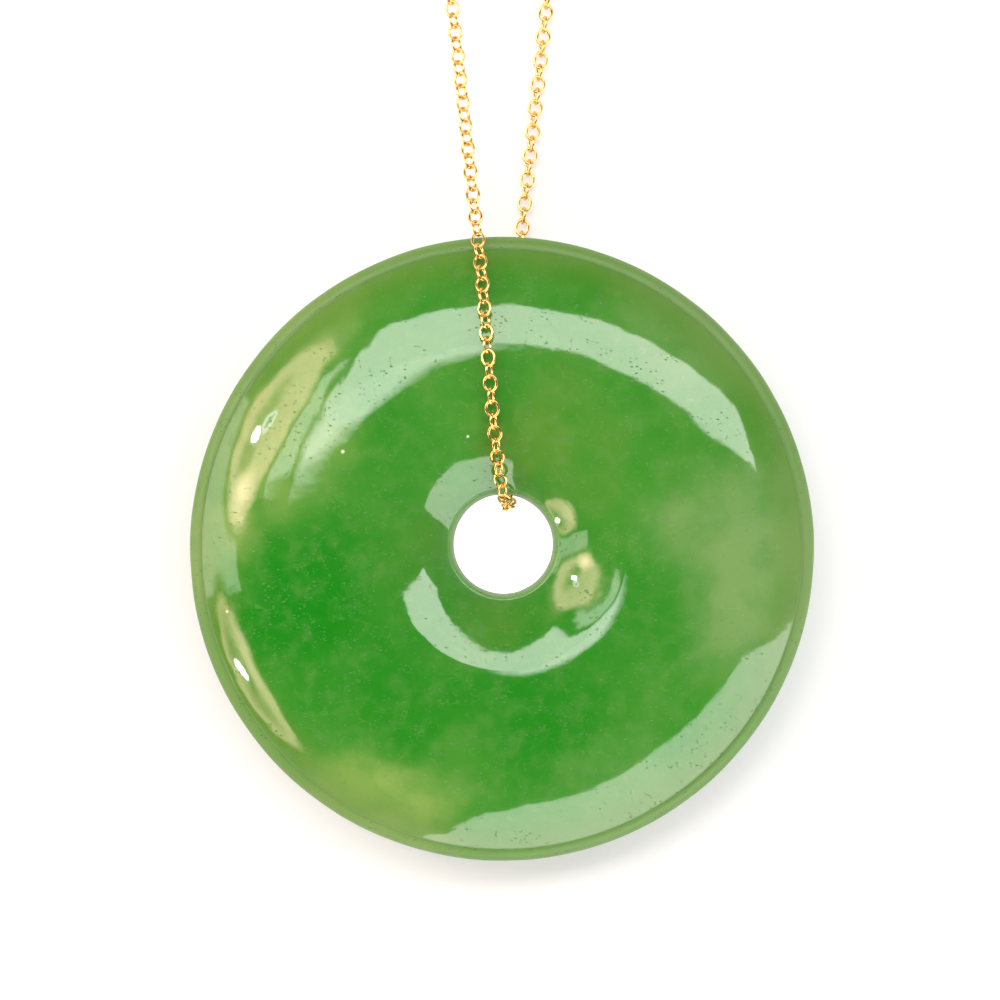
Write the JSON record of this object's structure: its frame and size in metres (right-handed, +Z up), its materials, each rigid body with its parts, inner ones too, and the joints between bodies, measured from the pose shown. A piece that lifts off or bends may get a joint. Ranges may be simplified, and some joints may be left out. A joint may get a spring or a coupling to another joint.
{
  "type": "jade bi disc",
  "caption": "Carved round jade disc with a central hole, rounded on both faces, threaded on a fine gold chain with a barrel clasp.",
  "frame": {"origin": "on the table under the middle of the disc, which lies face up", "axes": "+Z up, out of the disc's front face; +Y along the table from the disc towards the chain's coil and clasp"},
  "size_m": [0.05, 0.0977, 0.0125],
  "materials": {
    "jade": "polished, waxy, slightly see-through mottled green",
    "gold": "bright polished yellow gold"
  },
  "bodies": {
    "root": {"jade_disc": "jade", "chain_run": "gold", "chain_coil": "gold", "chain_tail": "gold", "clasp_socket": "gold", "clasp_plug": "gold"}
  },
  "joints": []
}
